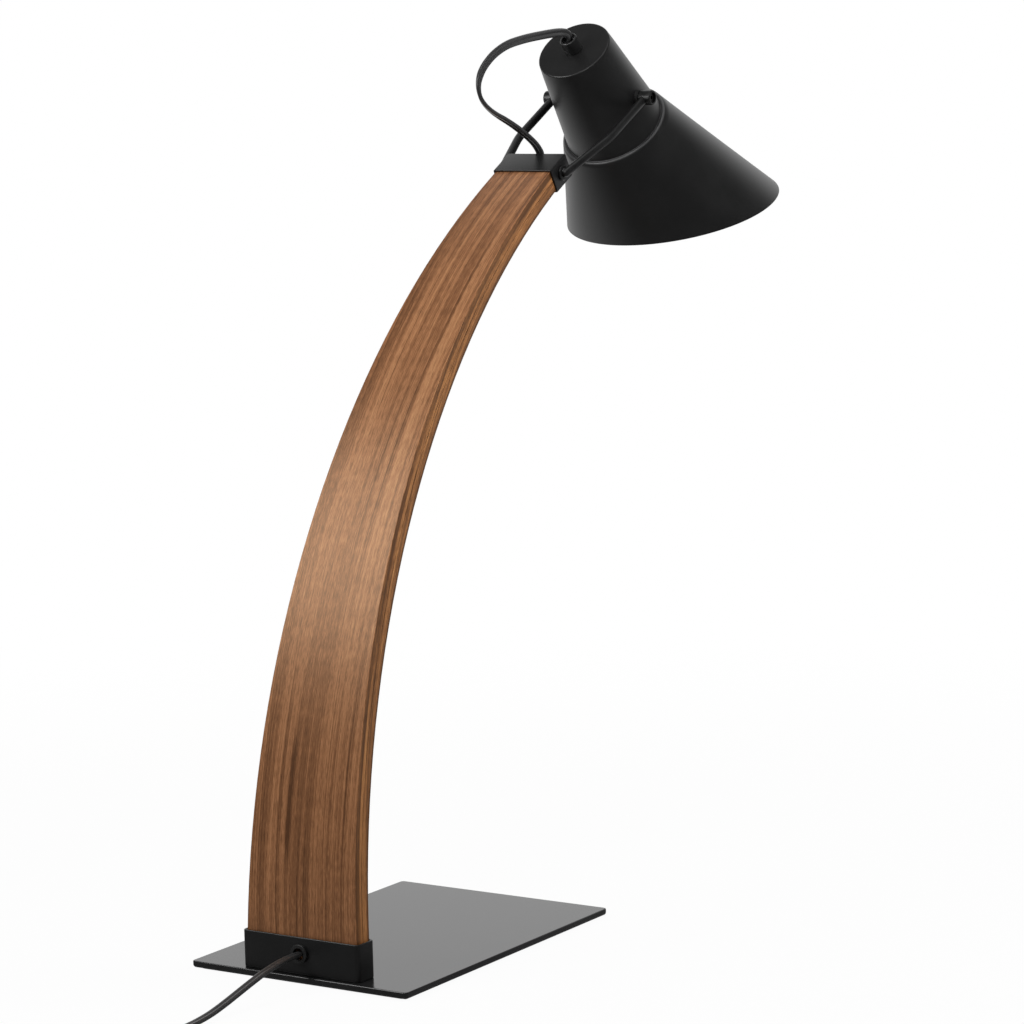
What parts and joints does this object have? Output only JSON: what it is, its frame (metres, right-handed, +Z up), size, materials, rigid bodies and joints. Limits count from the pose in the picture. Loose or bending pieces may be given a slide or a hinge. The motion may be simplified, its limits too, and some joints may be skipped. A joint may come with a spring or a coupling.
{
  "type": "table lamp",
  "caption": "Table lamp: arched wooden arm on a flat steel base, black conical shade tilting in a rod fork, loop of flat cord at the head, in-line switch and plug on the lead.",
  "frame": {"origin": "on the table, under the centre of the base plate", "axes": "+X forward, the way the arm leans and the shade opens; +Y to the lamp's left; +Z up"},
  "size_m": [0.9647, 0.181, 0.6308],
  "materials": {
    "plate_black": "gloss",
    "satin_black": "satin",
    "shade_black": "satin",
    "walnut": "satin",
    "cord_black": "gloss",
    "casing_black": "satin",
    "holder_black": "matte",
    "holder_white": "matte",
    "pad": "matte",
    "steel": "satin",
    "brass": "satin",
    "aluminium": "satin",
    "opal": "matte"
  },
  "bodies": {
    "lamp": {"base_plate": "plate_black", "base_pad": "pad", "arm_socket": "satin_black", "base_bolts": "steel", "arm_inserts": "brass", "cord_bushing": "holder_black", "arm_rear_layer": "walnut", "arm_front_layer": "walnut", "arm_cord": "cord_black", "head_bracket": "satin_black", "bracket_screws": "steel", "yoke_left": "satin_black", "yoke_right": "satin_black", "loop_cord": "cord_black", "lead_near": "cord_black", "switch_base": "casing_black", "switch_cover": "casing_black", "switch_pin": "steel", "switch_screws": "steel", "switch_contacts": "brass", "lead_mid": "cord_black", "cord_coil": "cord_black", "lead_end": "cord_black", "cord_tie": "holder_black", "plug_body": "casing_black", "plug_blades": "brass"},
    "shade": {"pivot_screws": "steel", "saddle_washers": "holder_black", "inner_washers": "steel", "pivot_nuts": "steel", "shade_upper": "shade_black", "shade_lower": "shade_black", "cord_grip": "holder_black", "grip_screw": "steel", "nipple": "steel", "nipple_nut": "steel", "holder_cap": "holder_black", "holder_body": "holder_black", "holder_insulator": "holder_white", "screw_shell": "aluminium", "centre_contact": "brass", "holder_cord": "cord_black", "bulb_cap": "aluminium", "bulb_globe": "opal"},
    "rocker": {"switch_rocker": "casing_black"}
  },
  "joints": [
    {"name": "shade_tilt", "type": "hinge", "parent": "lamp", "child": "shade", "pos_m": [0.2848, 0, 0.57574], "axis": [0, -1, 0], "range_deg": [-40, 45], "deforming": ["loop_cord"]},
    {"name": "rocker_throw", "type": "hinge", "parent": "lamp", "child": "rocker", "pos_m": [-0.336, 0, 0.0112], "axis": [0, -1, 0], "range_deg": [0, 16]}
  ]
}
